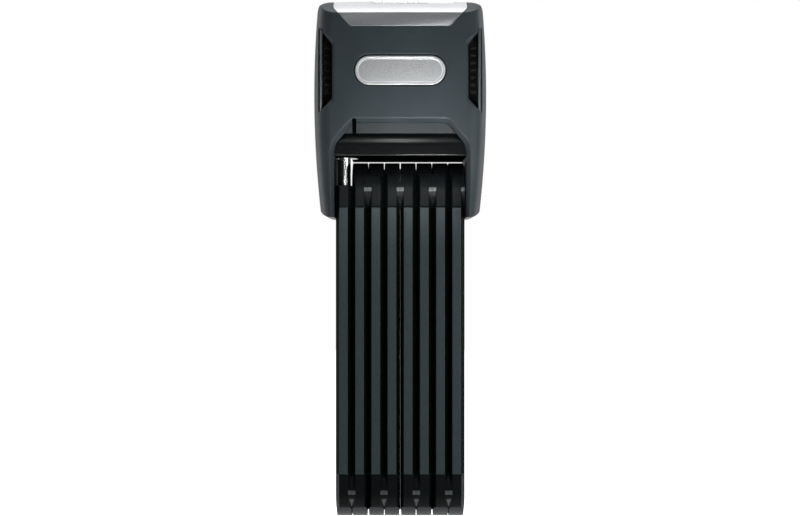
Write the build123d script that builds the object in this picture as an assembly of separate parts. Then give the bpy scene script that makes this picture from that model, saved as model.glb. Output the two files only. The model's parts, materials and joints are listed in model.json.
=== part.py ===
from build123d import *
import math
import os

# Folding bike lock with a siren: eight riveted links folded under a lock body.
# Millimetres. +X is to the right as seen from the front, +Y to the back, +Z up.
# The origin is on the body's flat back, level with its widest section.

# ---- folded links -----------------------------------------------------------
LINK_COUNT = 8
LINK_PITCH = 8.0          # spacing of the folded links along X
PIVOT_SPAN = 150.0        # rivet to rivet
LINK_WIDTH = 28.0
LINK_THICK = 7.86         # over the soft coat
FLAT_THICK = 4.4          # width of the narrow edge flat between the two bevels
TIP_JOINED = 3.9          # half width of the pad at a tip, towards the link it is riveted to
TIP_FREE = 3.67           # and towards the other neighbour
TIP_HEIGHT = 6.8
BEVEL_DEPTH = 3.2
CORE_WIDTH = 20.0
CORE_THICK = 5.0
COVER_REACH = 9.0         # how far an end cover reaches past its pivot
TOP_PIVOT_Z = -49.0
BOTTOM_PIVOT_Z = TOP_PIVOT_Z - PIVOT_SPAN
LINK_Y = -21.0            # centre plane of the links and of the body

# ---- rivets -----------------------------------------------------------------
RIVET_R = 4.0
RIVET_HOLE_R = 4.05
HEAD_R = 6.5
HEAD_WINDOW_R = 6.8
HEAD_THICK = 1.05
HEAD_GAP = 0.05
HUB_R = 13.0              # round boss that closes the valley between two links
HUB_GAP = 0.03            # from the hub's face to the middle of the gap

# ---- locking rod ------------------------------------------------------------
ROD_R = 3.0
ROD_NECK_R = 1.8
ROD_TOP_Z = -9.0
ROD_BASE_Z = -48.2
SHOULDER_Z = -47.0
NECK_LOW_Z = -19.0
NECK_HIGH_Z = -13.0
SLOT_HALF = 3.4           # half width of the slot that the rod swings through
SLOT_FRONT_Y = LINK_Y - 3.4

SOCKET_R = 6.0
SOCKET_HIGH = 5.0
SOCKET_SHIFT = 0.6        # the socket bush sits a little inwards of the rod

# ---- lock body --------------------------------------------------------------
BODY_DEPTH = 42.0
WALL = 2.4
CORNER_R = 9.0
BACK_CORNER_R = 6.0
SKIN_OVER = 0.05          # the barrel stands this far proud of the flat faces that trim it
DOME_EDGE_Z = 36.8        # crease where the front face meets the domed top
DOME_TOP_Z = 46.1
LEG_BOTTOM_Z = -63.0
BAY_HALF = 32.4           # half width between the legs
BAY_TOP_Z = -32.8         # underside of the lock case
LEG_WALL = 2.0
SPLIT_Y = LINK_Y
SEAM = 0.15

# half width of the barrelled sides at three heights
BARREL_SECTIONS = [(-68.0, 38.4), (-5.0, 42.6), (54.0, 39.5)]
FOOT_HALF = 39.6          # outer corner of a leg before it is rounded
FOOT_R = 6.0
MIDDLE_HALF = 43.7        # just outside the widest section
SHOULDER_HALF = 40.1
SHOULDER_TOP_Z = 43.3
SHOULDER_R = 7.0

# ---- arch and what shows in it ----------------------------------------------
ARCH_TOP_Z = -16.8
ARCH_TOP_HALF = 23.0
ARCH_KNEE_HALF = 31.4
ARCH_KNEE_Z = -27.0
ARCH_BEVEL = 2.2
CASE_TOP_Z = -21.8
CASE_HALF = 34.4
CASE_BACK_Y = -2.6
CASE_FRONT_Y = -39.2
CASE_BROW = (2.6, 6.2)    # how far the rounded brow goes back and up
CASE_LIP = 0.4
FRAME_TOP_Z = -12.0
FRAME_FRONT_Y = -39.0
FRAME_BACK_Y = -36.2
FRAME_SEAM_X = -22.6
FRAME_SEAM_WIDTH = 2.0
FRAME_SEAM_DEPTH = 2.4
SEAM_NOTCH_Z = -14.8
LUG_HALF = 31.4           # inner face of the lug beside the rod
LUG_FRONT_Y = -4.0
LUG_LOW_Z = -46.0

# ---- silver top cover -------------------------------------------------------
APRON_Z = 30.2
APRON_HALF = 24.6
EAR_HALF = 33.0
EAR_Z = 39.5
COVER_WALL = 2.6
TRACK_LOW_Z = 41.5        # floor of the slider's track
TRACK_Y = (-33.2, -10.8)
TRACK_LEFT_X = -13.8
TRACK_RIGHT_X = 27.0
KEYHOLE_R = 4.5

# ---- keyhole slider ---------------------------------------------------------
SLIDER_HALF_X = 13.4
SLIDER_Y = (-32.9, -11.1)
SLIDER_TOP_Z = 48.0
GROOVE_COUNT = 4
GROOVE_PITCH = 5.4
GROOVE_WIDTH = 1.8
GROOVE_FLOOR_Z = 43.4
SLIDER_CHAMFER = 4.4

# ---- badge ------------------------------------------------------------------
BADGE_Z = 8.7
BADGE_LENGTH = 44.2
BADGE_HEIGHT = 14.2
BADGE_GAP = 0.65
BADGE_THICK = 1.5
BADGE_SINK = 0.3
BADGE_RIM = 1.6

# ---- side vents -------------------------------------------------------------
VENT_X = (33.3, 39.9)     # the windows open in the body's two front corners
VENT_Z = (-12.0, 30.0)
VENT_SLANT_LOW = 7.0
VENT_SLANT_HIGH = 8.5
VENT_CORNER_R = 2.0
VENT_BEVEL = 1.3
TRAY_FLOOR_Y = -36.0
TRAY_WALL = 1.2
RIB_X = (38.4, 39.4)      # upright rib that guards the window
RIB_FRONT_Y = -40.0
OUTLET_X = (34.6, 37.4)
OUTLET_HIGH = 1.8
OUTLET_PITCH = 3.6
OUTLET_FIRST_Z = -2.5
OUTLET_COUNT = 7
SCREEN_X = (34.0, 38.2)
SCREEN_THICK = 0.6

# ---- lock mechanism ---------------------------------------------------------
BRACKET_END_X = 36.7
BLOCK_HIGH_Z = -8.7
BLOCK_LEFT_X = -34.2
BLOCK_RIGHT_X = 12.0
BLOCK_HALF_Y = 14.4
TOWER_HALF_X = 9.0
TOWER_HALF_Y = 12.0
TOWER_TOP_Z = 36.0
PLUG_X = -5.0             # the keyhole stands left of centre, clear of the open slider
PLUG_R = 6.5
PLUG_BORE_R = 6.55
PLUG_TOP_Z = 38.0
KEYWAY_DEPTH = 26.0
CAM_R = 6.0
CAM_TOP_Z = -0.1
CAM_LOW_Z = -7.0
PIN_R = 1.25
PIN_OFFSET = 4.5
PIN_LOW_Z = -17.0
BOLT_LOW_Z = -18.4
BOLT_HIGH_Z = -13.6
BOLT_HALF_Y = 6.0
BOLT_TIP_X = -24.5
BOLT_TAIL_X = 3.0
BOLT_TRAVEL = 6.4
FORK_HALF = 2.1
FORK_END_X = -19.6
NOTCH_HALF = 1.75
BOLT_GAP = 0.15
FIT = 0.05

# ---- alarm parts ------------------------------------------------------------
SIREN_R = 13.0
SIREN_X = (18.0, 31.5)
SIREN_Z = 14.0
BATTERY_R = 7.8
BATTERY_X = -22.6
BATTERY_LENGTH = 27.0
BATTERY_LOW_Z = -4.0
BOARD_Y = (-6.6, -5.0)
BOARD_HALF_X = 33.0
BOARD_Z = (-6.0, 29.0)

# ---- screws -----------------------------------------------------------------
SCREW_R = 1.5
SCREW_HEAD_R = 2.8
SCREW_WELL_R = 3.1
SCREW_WELL = 2.4
SCREW_HEAD_THICK = 2.0
EAR_SCREW = (36.4, 33.5)
CASE_SCREW = (17.0, -27.0)
BOSS_R = 3.2
SCREW_END_Y = -16.0


def span_box(x, y, z):
    """Box between the low and high value of each axis."""
    centre = ((x[0] + x[1]) / 2, (y[0] + y[1]) / 2, (z[0] + z[1]) / 2)
    return Pos(*centre) * Box(x[1] - x[0], y[1] - y[0], z[1] - z[0])


def x_rod(radius, x_low, x_high, y, z):
    """Round bar along X."""
    centre = Pos((x_low + x_high) / 2, y, z)
    return centre * Rot(0, 90, 0) * Cylinder(radius, x_high - x_low)


def y_rod(radius, y_low, y_high, x, z):
    """Round bar along Y."""
    centre = Pos(x, (y_low + y_high) / 2, z)
    return centre * Rot(90, 0, 0) * Cylinder(radius, y_high - y_low)


def z_rod(radius, z_low, z_high, x, y):
    """Round bar along Z."""
    return Pos(x, y, (z_low + z_high) / 2) * Cylinder(radius, z_high - z_low)


def link_x(number):
    """Centre plane of link 1 to 8."""
    return (number - (LINK_COUNT + 1) / 2) * LINK_PITCH


def link_outline(x, width):
    """Stadium of the given width round both pivots, in the plane at x."""
    plane = Plane(origin=(x, LINK_Y, (TOP_PIVOT_Z + BOTTOM_PIVOT_Z) / 2), x_dir=(0, 0, 1), z_dir=(1, 0, 0))
    return plane * SlotCenterToCenter(PIVOT_SPAN, width)


def link_slab(x_low, x_high, width):
    """Stadium plate between two planes."""
    return extrude(link_outline(x_low, width), x_high - x_low, dir=(1, 0, 0))


def zone(x, z_low, z_high):
    """Slice of space round one link between two heights."""
    return span_box((x - LINK_PITCH, x + LINK_PITCH), (-BODY_DEPTH, 0), (z_low, z_high))


def joined_side(number, at_top):
    """+1 where the pivot joins the next link, -1 where it joins the one before."""
    odd = number % 2 == 1
    return -1 if odd == at_top else 1


def tip_pad(number, at_top):
    """Full-width pad at one tip, a little wider towards the joined link."""
    x = link_x(number)
    side = joined_side(number, at_top)
    wide = sorted((x + side * TIP_JOINED, x - side * TIP_FREE))
    tip_z = TOP_PIVOT_Z + LINK_WIDTH / 2 if at_top else BOTTOM_PIVOT_Z - LINK_WIDTH / 2
    z = sorted((tip_z, tip_z - TIP_HEIGHT if at_top else tip_z + TIP_HEIGHT))
    return link_slab(*wide, LINK_WIDTH) & zone(x, *z)


def link_form(number):
    """Outer form of a coated link: narrow edge flat, wide bevels, wide tip pads."""
    x = link_x(number)
    flat = FLAT_THICK / 2
    half = LINK_THICK / 2
    narrow = LINK_WIDTH - 2 * BEVEL_DEPTH
    form = link_slab(x - flat, x + flat, LINK_WIDTH)
    for side in (-1, 1):
        wide_face = link_outline(x + side * flat, LINK_WIDTH)
        side_face = link_outline(x + side * half, narrow)
        form += loft([wide_face, side_face], ruled=True)
    return form + tip_pad(number, False) + tip_pad(number, True)


def link_core(number):
    """Hardened steel bar with a rivet hole at each end; link 1 has none at its top."""
    x = link_x(number)
    core = link_slab(x - CORE_THICK / 2, x + CORE_THICK / 2, CORE_WIDTH)
    holes = [BOTTOM_PIVOT_Z, TOP_PIVOT_Z]
    if number == 1:
        core &= zone(x, BOTTOM_PIVOT_Z - LINK_WIDTH, ROD_BASE_Z)
        holes = [BOTTOM_PIVOT_Z]
    for z in holes:
        core -= x_rod(RIVET_HOLE_R, x - LINK_THICK, x + LINK_THICK, LINK_Y, z)
    return core


def link_sleeve(number):
    """Soft coat over the middle of the bar."""
    x = link_x(number)
    middle = zone(x, BOTTOM_PIVOT_Z + COVER_REACH, TOP_PIVOT_Z - COVER_REACH)
    return (link_form(number) & middle) - link_slab(x - CORE_THICK / 2, x + CORE_THICK / 2, CORE_WIDTH)


def pivot_details(x, z, side, end_zone):
    """Hub to add and holes to cut at one pivot of an end cover."""
    gap_plane = x + side * (LINK_PITCH / 2 - HUB_GAP)
    hub = x_rod(HUB_R, min(x, gap_plane), max(x, gap_plane), LINK_Y, z) & end_zone
    shaft = x_rod(RIVET_HOLE_R + HEAD_GAP, x - LINK_PITCH, x + LINK_PITCH, LINK_Y, z)
    far = x - side * LINK_PITCH
    window = x_rod(HEAD_WINDOW_R, min(x, far), max(x, far), LINK_Y, z)
    return hub, shaft + window


def link_covers(number):
    """Hard moulded end covers, one over each end of the bar."""
    x = link_x(number)
    low = zone(x, BOTTOM_PIVOT_Z - LINK_WIDTH, BOTTOM_PIVOT_Z + COVER_REACH)
    top_limit = SHOULDER_Z if number == 1 else TOP_PIVOT_Z + LINK_WIDTH
    high = zone(x, TOP_PIVOT_Z - COVER_REACH, top_limit)
    form = link_form(number)
    covers = (form & low) + (form & high)
    pivots = [(BOTTOM_PIVOT_Z, joined_side(number, False), low)]
    if number > 1:
        pivots.append((TOP_PIVOT_Z, joined_side(number, True), high))
    for z, side, end_zone in pivots:
        hub, holes = pivot_details(x, z, side, end_zone)
        covers = covers + hub - holes
    bar = link_slab(x - CORE_THICK / 2, x + CORE_THICK / 2, CORE_WIDTH)
    if number == 1:
        bar &= zone(x, BOTTOM_PIVOT_Z - LINK_WIDTH, ROD_BASE_Z)
        covers -= z_rod(ROD_R, ROD_BASE_Z, 0, x, LINK_Y)
    return covers - bar


def rivet(number):
    """Rivet with two flat heads through links number and number + 1."""
    z = TOP_PIVOT_Z if number % 2 == 0 else BOTTOM_PIVOT_Z
    inner = CORE_THICK / 2 + HEAD_GAP
    left = link_x(number) - inner
    right = link_x(number + 1) + inner
    pin = x_rod(RIVET_R, left - HEAD_THICK, right + HEAD_THICK, LINK_Y, z)
    pin += x_rod(HEAD_R, left - HEAD_THICK, left, LINK_Y, z)
    return pin + x_rod(HEAD_R, right, right + HEAD_THICK, LINK_Y, z)


def body_rivet():
    """Pin from the right leg's bracket through the top of link 8."""
    left = link_x(LINK_COUNT) - CORE_THICK / 2 - HEAD_GAP
    pin = x_rod(RIVET_R, left - HEAD_THICK, BRACKET_END_X, LINK_Y, TOP_PIVOT_Z)
    return pin + x_rod(HEAD_R, left - HEAD_THICK, left, LINK_Y, TOP_PIVOT_Z)


def locking_rod():
    """Chromed rod with a turned neck that the bolt's fork holds."""
    x = link_x(1)
    rod = z_rod(ROD_R, ROD_BASE_Z, ROD_TOP_Z, x, LINK_Y)
    rod = chamfer(rod.edges().group_by(Axis.Z)[-1], 0.9)
    ring = z_rod(ROD_R + 1, NECK_LOW_Z, NECK_HIGH_Z, x, LINK_Y)
    ring -= z_rod(ROD_NECK_R, NECK_LOW_Z, NECK_HIGH_Z, x, LINK_Y)
    return rod - ring


def plan_section(z, half_width, inset):
    """Rounded rectangle of the body at one height: large corners in front, small behind."""
    half = half_width - inset
    front = -BODY_DEPTH - SKIN_OVER + inset
    back = SKIN_OVER - inset
    front_r = CORNER_R - inset
    back_r = BACK_CORNER_R - inset
    diagonal = math.sqrt(0.5)
    with BuildSketch(Plane.XY.offset(z)) as section:
        with BuildLine():
            Line((-half + front_r, front), (half - front_r, front))
            ThreePointArc(
                (half - front_r, front),
                (half - front_r * (1 - diagonal), front + front_r * (1 - diagonal)),
                (half, front + front_r),
            )
            Line((half, front + front_r), (half, back - back_r))
            ThreePointArc(
                (half, back - back_r),
                (half - back_r * (1 - diagonal), back - back_r * (1 - diagonal)),
                (half - back_r, back),
            )
            Line((half - back_r, back), (-half + back_r, back))
            ThreePointArc(
                (-half + back_r, back),
                (-half + back_r * (1 - diagonal), back - back_r * (1 - diagonal)),
                (-half, back - back_r),
            )
            Line((-half, back - back_r), (-half, front + front_r))
            ThreePointArc(
                (-half, front + front_r),
                (-half + front_r * (1 - diagonal), front + front_r * (1 - diagonal)),
                (-half + front_r, front),
            )
        make_face()
    return section.sketch


def dome_profile(inset):
    """Side profile of the body: upright faces under a shallow domed top."""
    front = -BODY_DEPTH + inset
    back = -inset
    low = LEG_BOTTOM_Z + inset
    edge = DOME_EDGE_Z - inset * 0.6
    top = DOME_TOP_Z - inset
    with BuildSketch(Plane.YZ.offset(-BODY_DEPTH * 2)) as profile:
        with BuildLine():
            Line((front, low), (front, edge))
            ThreePointArc((front, edge), (LINK_Y, top), (back, edge))
            Line((back, edge), (back, low))
            Line((back, low), (front, low))
        make_face()
    return extrude(profile.sketch, BODY_DEPTH * 4, dir=(1, 0, 0))


def front_silhouette(inset):
    """Front outline of the body: rounded feet and shoulders under a slight crown."""
    low = LEG_BOTTOM_Z + inset
    crown = DOME_TOP_Z - inset
    shoulder = (SHOULDER_HALF - inset, SHOULDER_TOP_Z - inset)
    foot = (FOOT_HALF - inset, low)
    side = [(MIDDLE_HALF - inset, 20.0), (MIDDLE_HALF - inset, -10.0)]
    with BuildSketch(Plane.XZ) as outline:
        with BuildLine():
            ThreePointArc((-shoulder[0], shoulder[1]), (0, crown), shoulder)
            Polyline(shoulder, *side, foot)
            Line(foot, (-foot[0], foot[1]))
            Polyline((-foot[0], foot[1]), *[(-x, z) for x, z in reversed(side)], (-shoulder[0], shoulder[1]))
        make_face()
        fillet(outline.vertices().filter_by(lambda v: v.Y < low + 1), FOOT_R - inset / 2)
        fillet(outline.vertices().filter_by(lambda v: v.Y > shoulder[1] - 1), SHOULDER_R - inset / 2)
    return extrude(outline.sketch, 2 * BODY_DEPTH, both=True)


def body_form(inset):
    """Solid of the whole body, drawn in by the inset on every side."""
    barrel = loft([plan_section(z, half, inset) for z, half in BARREL_SECTIONS])
    return barrel & front_silhouette(inset) & dome_profile(inset)


def arch_outline(y, grow):
    """Arch between the legs, seen from the front."""
    top = ARCH_TOP_Z + grow
    knee_half = ARCH_KNEE_HALF + grow
    low = LEG_BOTTOM_Z - 5
    points = [
        (-BAY_HALF - grow, low),
        (-BAY_HALF - grow, ARCH_KNEE_Z - 4),
        (-knee_half, ARCH_KNEE_Z + grow * 0.4),
        (-ARCH_TOP_HALF - grow * 0.4, top),
        (ARCH_TOP_HALF + grow * 0.4, top),
        (knee_half, ARCH_KNEE_Z + grow * 0.4),
        (BAY_HALF + grow, ARCH_KNEE_Z - 4),
        (BAY_HALF + grow, low),
    ]
    face = Plane(origin=(0, y, 0), x_dir=(1, 0, 0), z_dir=(0, -1, 0)) * make_face(Polyline(*points, close=True))
    arch_corners = face.vertices().filter_by(lambda v: v.Z > low + 1)
    return fillet(arch_corners, 4.0)


def arch_cut():
    """Arch opening of the front shell, widening to the front in a bevel."""
    inner_y = -BODY_DEPTH + ARCH_BEVEL
    straight = extrude(arch_outline(inner_y, 0), 30, dir=(0, 1, 0))
    straight &= span_box((-60, 60), (-60, SPLIT_Y), (-80, 0))
    flare = loft([arch_outline(inner_y, 0), arch_outline(-BODY_DEPTH - 0.5, ARCH_BEVEL * 1.2)], ruled=True)
    return straight + flare


def bay_cut():
    """Space between the legs for the folded links."""
    return span_box((-BAY_HALF, BAY_HALF), (-60, 20), (LEG_BOTTOM_Z - 5, BAY_TOP_Z))


def rod_slot(z_high):
    """Slot that the rod swings through, open below and behind."""
    x = link_x(1)
    return span_box((x - SLOT_HALF, x + SLOT_HALF), (SLOT_FRONT_Y, 5), (LEG_BOTTOM_Z - 5, z_high))


def apron_region(gap):
    """Region of the silver top cover, seen from the front."""
    half = APRON_HALF - gap
    ear = EAR_HALF - gap
    low = APRON_Z + gap
    top = DOME_TOP_Z + 8
    points = [(-ear, top), (-ear, EAR_Z), (-half, low), (half, low), (ear, EAR_Z), (ear, top)]
    face = Plane.XZ * make_face(Polyline(*points, close=True))
    soft_corners = face.vertices().filter_by(lambda v: v.Z < top - 1)
    return extrude(fillet(soft_corners, 3.5), 120, both=True)


def leg_walls():
    """Inner walls of the two legs, beside the links."""
    walls = Part()
    for side in (-1, 1):
        x = sorted((side * BAY_HALF, side * (BAY_HALF + LEG_WALL)))
        walls += span_box(x, (-BODY_DEPTH + 0.2, -0.2), (LEG_BOTTOM_Z + 0.2, BAY_TOP_Z))
    return walls


def vent_outline(side, y, grow):
    """Window in one front corner, slanted at its foot and its top."""
    inner = side * (VENT_X[0] - grow)
    outer = side * (VENT_X[1] + grow)
    low = VENT_Z[0] - grow
    high = VENT_Z[1] + grow
    points = [(inner, low + VENT_SLANT_LOW), (outer, low), (outer, high), (inner, high - VENT_SLANT_HIGH)]
    plane = Plane(origin=(0, y, 0), x_dir=(1, 0, 0), z_dir=(0, -1, 0))
    face = plane * make_face(Polyline(*points, close=True))
    inner_corners = face.vertices().sort_by(lambda v: abs(v.X))[:2]
    return fillet(inner_corners, VENT_CORNER_R)


def vent_prism(side, back_y, grow):
    """Space of one window from the open front to a depth."""
    front_y = -BODY_DEPTH - 2
    return extrude(vent_outline(side, front_y, grow), back_y - front_y, dir=(0, 1, 0))


def vent_cut(side):
    """Window through the casing with a bevelled rim."""
    over = 0.4
    rim_back = vent_outline(side, -BODY_DEPTH + VENT_BEVEL, 0)
    rim_front = vent_outline(side, -BODY_DEPTH - over, VENT_BEVEL + over)
    return vent_prism(side, TRAY_FLOOR_Y, 0) + loft([rim_back, rim_front], ruled=True)


def badge_outline(y, shrink):
    """Stadium of the badge."""
    plane = Plane(origin=(0, y, BADGE_Z), x_dir=(1, 0, 0), z_dir=(0, -1, 0))
    height = BADGE_HEIGHT - 2 * shrink
    return plane * SlotOverall(BADGE_LENGTH - 2 * shrink, height)


def body_skin():
    """Wall of the whole body with the leg walls, before it is parted."""
    outer = body_form(0)
    skin = outer - body_form(WALL)
    skin += outer & leg_walls()
    skin -= bay_cut()
    skin -= apron_region(0)
    for side in (-1, 1):
        skin -= vent_cut(side)
    pin_hole = x_rod(RIVET_R + 0.3, BAY_HALF - 1, CASE_HALF + 1, LINK_Y, TOP_PIVOT_Z)
    return skin - pin_hole


def ear_bosses(y_low, y_high):
    """Screw bosses in the two upper corners."""
    bosses = Part()
    for side in (-1, 1):
        bosses += y_rod(BOSS_R, y_low, y_high, side * EAR_SCREW[0], EAR_SCREW[1])
    return bosses


def front_shell(skin, outer):
    """Front half of the moulded casing with the arch and the badge recess."""
    front_half = span_box((-60, 60), (-60, SPLIT_Y - SEAM / 2), (-80, 60))
    shell = (skin & front_half) - arch_cut()
    shell += ear_bosses(-BODY_DEPTH + WALL / 2, SPLIT_Y - SEAM / 2) & outer
    recess_y = -BODY_DEPTH + BADGE_THICK + BADGE_SINK
    shell -= extrude(badge_outline(recess_y, -BADGE_GAP), 5, dir=(0, -1, 0))
    notch_x = (FRAME_SEAM_X - FRAME_SEAM_WIDTH / 2, FRAME_SEAM_X + FRAME_SEAM_WIDTH / 2)
    shell -= span_box(notch_x, (-BODY_DEPTH - 1, FRAME_FRONT_Y), (ARCH_TOP_Z - 1, SEAM_NOTCH_Z))
    for side in (-1, 1):
        shell -= y_rod(SCREW_R, SCREW_END_Y - 12, SPLIT_Y + 1, side * EAR_SCREW[0], EAR_SCREW[1])
    return shell


def rear_shell(skin, outer):
    """Rear half of the casing with a flat back, the rod's slot and screw wells."""
    rear_half = span_box((-60, 60), (SPLIT_Y + SEAM / 2, 20), (-80, 60))
    shell = (skin & rear_half) - rod_slot(ROD_TOP_Z + 1)
    shell += ear_bosses(SPLIT_Y + SEAM / 2, -WALL / 2) & outer
    shell += span_box((-BAY_HALF - 0.5, -LUG_HALF), (LUG_FRONT_Y, -0.2), (LUG_LOW_Z, BAY_TOP_Z - 0.2))
    for x, z in (EAR_SCREW, CASE_SCREW):
        for side in (-1, 1):
            shell -= y_rod(SCREW_R + 0.1, SPLIT_Y - 1, 1, side * x, z)
            shell -= y_rod(SCREW_WELL_R, -SCREW_WELL, 1, side * x, z)
    return shell


def top_cover(outer):
    """Silver cover over the top, with the slider's track and the keyhole."""
    cover = (outer - body_form(COVER_WALL)) & apron_region(SEAM)
    track_x = (TRACK_LEFT_X, TRACK_RIGHT_X)
    floor_y = (TRACK_Y[0] - 1.5, TRACK_Y[1] + 1.5)
    floor_x = (track_x[0] - 1.5, track_x[1] + 1.5)
    cover += span_box(floor_x, floor_y, (TRACK_LOW_Z - 1.6, TRACK_LOW_Z + 2.0)) & outer
    cover -= span_box(track_x, TRACK_Y, (TRACK_LOW_Z, 60))
    return cover - z_rod(KEYHOLE_R, 30, 60, PLUG_X, LINK_Y)


def keyhole_slider():
    """Thumb slider over the keyhole, with a row of grip grooves."""
    x = (-SLIDER_HALF_X, SLIDER_HALF_X)
    slider = span_box(x, SLIDER_Y, (TRACK_LOW_Z + FIT, SLIDER_TOP_Z))
    slider = chamfer(slider.edges().filter_by(Axis.X).group_by(Axis.Z)[-1], SLIDER_CHAMFER)
    slider = fillet(slider.edges().group_by(Axis.Z)[-1], 0.6)
    for index in range(GROOVE_COUNT):
        middle = (index - (GROOVE_COUNT - 1) / 2) * GROOVE_PITCH
        groove_x = (middle - GROOVE_WIDTH / 2, middle + GROOVE_WIDTH / 2)
        slider -= span_box(groove_x, (SLIDER_Y[0] - 1, SLIDER_Y[1] + 1), (GROOVE_FLOOR_Z, SLIDER_TOP_Z + 1))
    return slider


def badge_plate():
    """Plain oval plate with a raised rim; it carries no lettering."""
    back_y = -BODY_DEPTH + BADGE_THICK + BADGE_SINK
    plate = extrude(badge_outline(back_y, 0), BADGE_THICK, dir=(0, -1, 0))
    field = extrude(badge_outline(-BODY_DEPTH + BADGE_SINK + 0.35, BADGE_RIM), 5, dir=(0, -1, 0))
    return plate - field


def lock_case():
    """Gloss case between the legs: upright front, rounded brow and a small lip below."""
    back, up = CASE_BROW
    brow_low = CASE_TOP_Z - up
    radius = (back * back + up * up) / (2 * back)
    middle_up = up / 2
    middle_back = radius - math.sqrt(radius * radius - middle_up * middle_up)
    with BuildSketch(Plane.YZ.offset(-CASE_HALF)) as profile:
        with BuildLine():
            Line((CASE_BACK_Y, BAY_TOP_Z), (CASE_FRONT_Y + CASE_LIP, BAY_TOP_Z))
            Line((CASE_FRONT_Y + CASE_LIP, BAY_TOP_Z), (CASE_FRONT_Y, BAY_TOP_Z + CASE_LIP))
            Line((CASE_FRONT_Y, BAY_TOP_Z + CASE_LIP), (CASE_FRONT_Y, brow_low))
            ThreePointArc(
                (CASE_FRONT_Y, brow_low),
                (CASE_FRONT_Y + middle_back, brow_low + middle_up),
                (CASE_FRONT_Y + back, CASE_TOP_Z),
            )
            Line((CASE_FRONT_Y + back, CASE_TOP_Z), (CASE_BACK_Y, CASE_TOP_Z))
            Line((CASE_BACK_Y, CASE_TOP_Z), (CASE_BACK_Y, BAY_TOP_Z))
        make_face()
    case = extrude(profile.sketch, 2 * CASE_HALF, dir=(1, 0, 0)) - rod_slot(0)
    case -= z_rod(SOCKET_R, BAY_TOP_Z - 1, BAY_TOP_Z + SOCKET_HIGH, link_x(1) + SOCKET_SHIFT, LINK_Y)
    for side in (-1, 1):
        case -= y_rod(SCREW_R, SCREW_END_Y, 0, side * CASE_SCREW[0], CASE_SCREW[1])
    return case


def rod_socket():
    """Steel bush let into the case's underside round the rod's entry."""
    ring = z_rod(SOCKET_R, BAY_TOP_Z, BAY_TOP_Z + SOCKET_HIGH, link_x(1) + SOCKET_SHIFT, LINK_Y)
    return ring - rod_slot(0)


def inner_frame():
    """Matt plate above the case with the upright joint line near its left end."""
    plate = span_box((-33.0, 33.0), (FRAME_FRONT_Y, FRAME_BACK_Y), (CASE_TOP_Z + 0.05, FRAME_TOP_Z))
    half = FRAME_SEAM_WIDTH / 2
    groove = (FRAME_SEAM_X - half, FRAME_SEAM_X + half)
    return plate - span_box(groove, (FRAME_FRONT_Y - 1, FRAME_FRONT_Y + FRAME_SEAM_DEPTH), (-40, 0))


def pivot_bracket():
    """Steel bracket in the right leg that carries the first pivot."""
    upright = span_box((CASE_HALF + 0.1, BRACKET_END_X), (-31, -11), (-57.5, -16.0))
    flange = span_box((BLOCK_RIGHT_X + 0.2, CASE_HALF + 0.2), (-31, -11), (CASE_TOP_Z + 0.1, CASE_TOP_Z + 3.1))
    return upright + flange - x_rod(RIVET_R + FIT, 0, 60, LINK_Y, TOP_PIVOT_Z)


def cylinder_housing():
    """Steel block that holds the key plug, the bolt and the rod's head."""
    y = (LINK_Y - BLOCK_HALF_Y, LINK_Y + BLOCK_HALF_Y)
    block = span_box((BLOCK_LEFT_X, BLOCK_RIGHT_X), y, (CASE_TOP_Z + 0.1, BLOCK_HIGH_Z))
    tower_x = (PLUG_X - TOWER_HALF_X, PLUG_X + TOWER_HALF_X)
    tower_y = (LINK_Y - TOWER_HALF_Y, LINK_Y + TOWER_HALF_Y)
    block += span_box(tower_x, tower_y, (BLOCK_HIGH_Z, TOWER_TOP_Z))
    block -= z_rod(PLUG_BORE_R, BOLT_HIGH_Z, 50, PLUG_X, LINK_Y)
    block -= rod_slot(0)
    channel_y = (LINK_Y - BOLT_HALF_Y - BOLT_GAP, LINK_Y + BOLT_HALF_Y + BOLT_GAP)
    channel_z = (BOLT_LOW_Z - BOLT_GAP, BOLT_HIGH_Z + BOLT_GAP)
    channel_x = (BOLT_TIP_X - BOLT_TRAVEL - 0.4, BOLT_TAIL_X + 1)
    return block - span_box(channel_x, channel_y, channel_z)


def key_plug():
    """Plug that the key turns, with a plain keyway."""
    plug = z_rod(PLUG_R, 0, PLUG_TOP_Z, PLUG_X, LINK_Y)
    keyway = span_box((PLUG_X - 0.8, PLUG_X + 0.8), (LINK_Y - 4, LINK_Y + 4), (PLUG_TOP_Z - KEYWAY_DEPTH, PLUG_TOP_Z + 1))
    return plug - keyway


def plug_cam():
    """Disc under the plug with the offset pin that drives the bolt."""
    offset = PIN_OFFSET * math.sqrt(0.5)
    disc = z_rod(CAM_R, CAM_LOW_Z, CAM_TOP_Z, PLUG_X, LINK_Y)
    return disc + z_rod(PIN_R, PIN_LOW_Z, CAM_LOW_Z, PLUG_X + offset, LINK_Y + offset)


def locking_bolt():
    """Flat bolt with a fork for the rod's neck and a notch for the cam's pin."""
    offset = PIN_OFFSET * math.sqrt(0.5)
    y = (LINK_Y - BOLT_HALF_Y, LINK_Y + BOLT_HALF_Y)
    bolt = span_box((BOLT_TIP_X, BOLT_TAIL_X), y, (BOLT_LOW_Z, BOLT_HIGH_Z))
    bolt -= span_box((BOLT_TIP_X - 1, FORK_END_X), (LINK_Y - FORK_HALF, LINK_Y + FORK_HALF), (-30, 0))
    notch_x = (PLUG_X + offset - NOTCH_HALF, PLUG_X + offset + NOTCH_HALF)
    return bolt - span_box(notch_x, (LINK_Y + offset - NOTCH_HALF, y[1] + 1), (-30, 0))


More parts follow.
